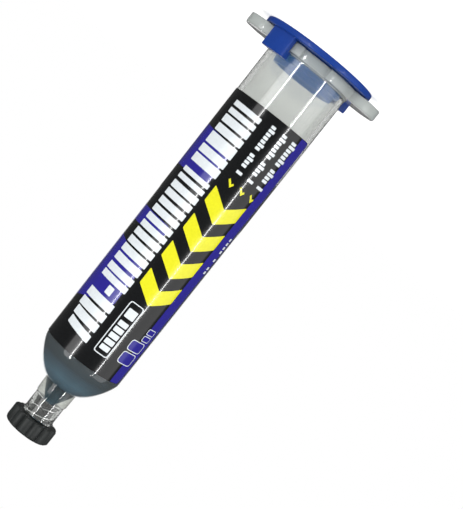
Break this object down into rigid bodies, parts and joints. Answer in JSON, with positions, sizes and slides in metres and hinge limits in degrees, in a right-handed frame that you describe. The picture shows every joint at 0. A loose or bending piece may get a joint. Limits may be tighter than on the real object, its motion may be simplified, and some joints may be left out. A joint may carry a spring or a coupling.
{
  "type": "glue dispensing syringe",
  "caption": "Luer-lock dispensing syringe filled with glue: clear eared barrel standing on its twist-lock end cap, with a sliding piston, wrap-around label and tip cap.",
  "frame": {"origin": "centre of the end cap's flat face, which the syringe stands on", "axes": "+Z along the barrel from the end cap to the tip, X through the flange's two ears, -X through the label's clear strip"},
  "size_m": [0.044, 0.0356, 0.1313],
  "materials": {
    "clear_barrel": "hazy clear polypropylene, smooth and glossy",
    "blue_cap": "opaque blue moulded polypropylene, satin gloss",
    "white_piston": "natural white polyethylene, satin",
    "black_glue": "black paste glue, wet and glossy",
    "printed_label": "glossy printed film, black with blue, white and yellow blocks",
    "black_cap": "black moulded plastic, fine satin texture"
  },
  "bodies": {
    "barrel_body": {"barrel": "clear_barrel", "label": "printed_label", "glue_column": "black_glue", "glue_tip": "black_glue"},
    "end_cap_body": {"end_cap": "blue_cap"},
    "piston_body": {"piston": "white_piston"},
    "tip_cap_body": {"tip_cap": "black_cap"}
  },
  "joints": [
    {"name": "end_cap_turn", "type": "hinge", "parent": "barrel_body", "child": "end_cap_body", "pos_m": [0, 0, 0], "axis": [0, 0, 1], "range_deg": [-45, 0]},
    {"name": "piston_slide", "type": "slide", "parent": "barrel_body", "child": "piston_body", "axis": [0, 0, 1], "range_m": [0, 0.067], "deforming": ["glue_column"]},
    {"name": "tip_cap_off", "type": "slide", "parent": "barrel_body", "child": "tip_cap_body", "axis": [0, 0, 1], "range_m": [0, 0.012]}
  ]
}
